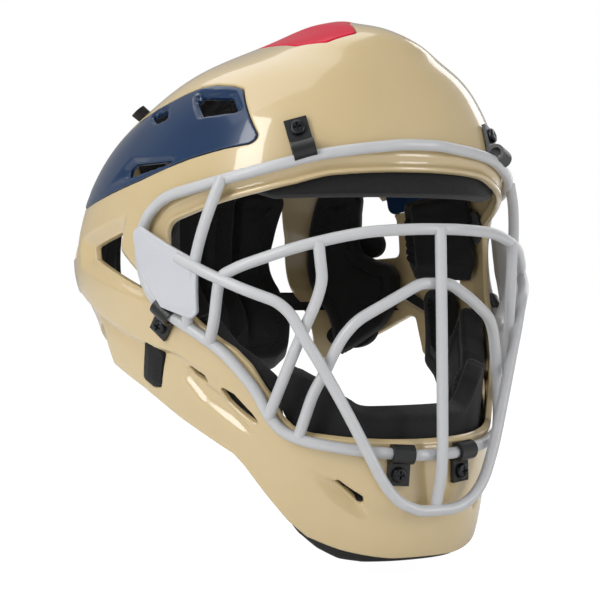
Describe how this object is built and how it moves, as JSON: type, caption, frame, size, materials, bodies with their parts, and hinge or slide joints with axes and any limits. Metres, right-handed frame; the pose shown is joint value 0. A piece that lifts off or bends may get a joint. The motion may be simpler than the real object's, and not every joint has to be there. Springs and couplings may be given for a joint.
{
  "type": "baseball catcher helmet",
  "caption": "Hard shell catcher helmet with a wire face cage, vent panels, foam pads and a sprung sliding back plate.",
  "frame": {"origin": "middle of the head between the ears, where the head mount sits", "axes": "+Z towards the crown, -Y towards the face, +X towards the wearer's left"},
  "size_m": [0.2544, 0.2735, 0.3107],
  "materials": {
    "shell_gold": "gloss gold enamel over moulded plastic",
    "panel_navy": "gloss navy enamel over moulded plastic",
    "panel_red": "gloss red enamel over moulded plastic",
    "wire_white": "white powder-coated steel wire",
    "plate_white": "gloss white moulded plastic",
    "clip_black": "black vinyl-coated strap",
    "screw_black": "black oxide steel screws",
    "nut_steel": "plain steel",
    "pad_fabric": "black brushed fabric over closed-cell foam",
    "skirt_black": "black coated foam",
    "strap_elastic": "black woven elastic webbing",
    "tape_black": "black hook-and-loop tape"
  },
  "bodies": {
    "helmet": {"shell": "shell_gold", "side_vent_panel_left": "panel_navy", "side_vent_panel_right": "panel_navy", "crown_vent_panel": "panel_red", "cage_frame": "wire_white", "cage_eye_bar": "wire_white", "cage_chin_loop": "wire_white", "cage_arch_bar": "wire_white", "cage_side_bars": "wire_white", "cage_cheek_bars": "wire_white", "cage_center_bar": "wire_white", "side_plate_left": "plate_white", "side_plate_right": "plate_white", "forehead_clips": "clip_black", "side_clips": "clip_black", "chin_clips": "clip_black", "cage_screws": "screw_black", "cage_nuts": "nut_steel", "forehead_pad": "pad_fabric", "crown_pad": "pad_fabric", "temple_pad_left": "pad_fabric", "temple_pad_right": "pad_fabric", "rear_pad_left": "pad_fabric", "rear_pad_right": "pad_fabric", "jaw_pad_left": "pad_fabric", "jaw_pad_right": "pad_fabric", "chin_pad": "pad_fabric", "chin_skirt": "skirt_black", "pad_fasteners": "tape_black", "upper_strap_left": "strap_elastic", "upper_strap_right": "strap_elastic", "upper_strap_loop_left": "strap_elastic", "upper_strap_loop_right": "strap_elastic", "lower_strap_left": "strap_elastic", "lower_strap_right": "strap_elastic", "lower_strap_loop_left": "strap_elastic", "lower_strap_loop_right": "strap_elastic"},
    "back_plate": {"back_plate": "shell_gold", "back_plate_pad": "pad_fabric", "strap_rivets": "screw_black", "back_pad_fasteners": "tape_black"}
  },
  "joints": [
    {"name": "back_plate_slide", "type": "slide", "parent": "helmet", "child": "back_plate", "axis": [0, 1, 0], "range_m": [0, 0.025], "stiffness_N_per_m": 900, "deforming": ["upper_strap_left", "upper_strap_right", "lower_strap_left", "lower_strap_right"]}
  ]
}
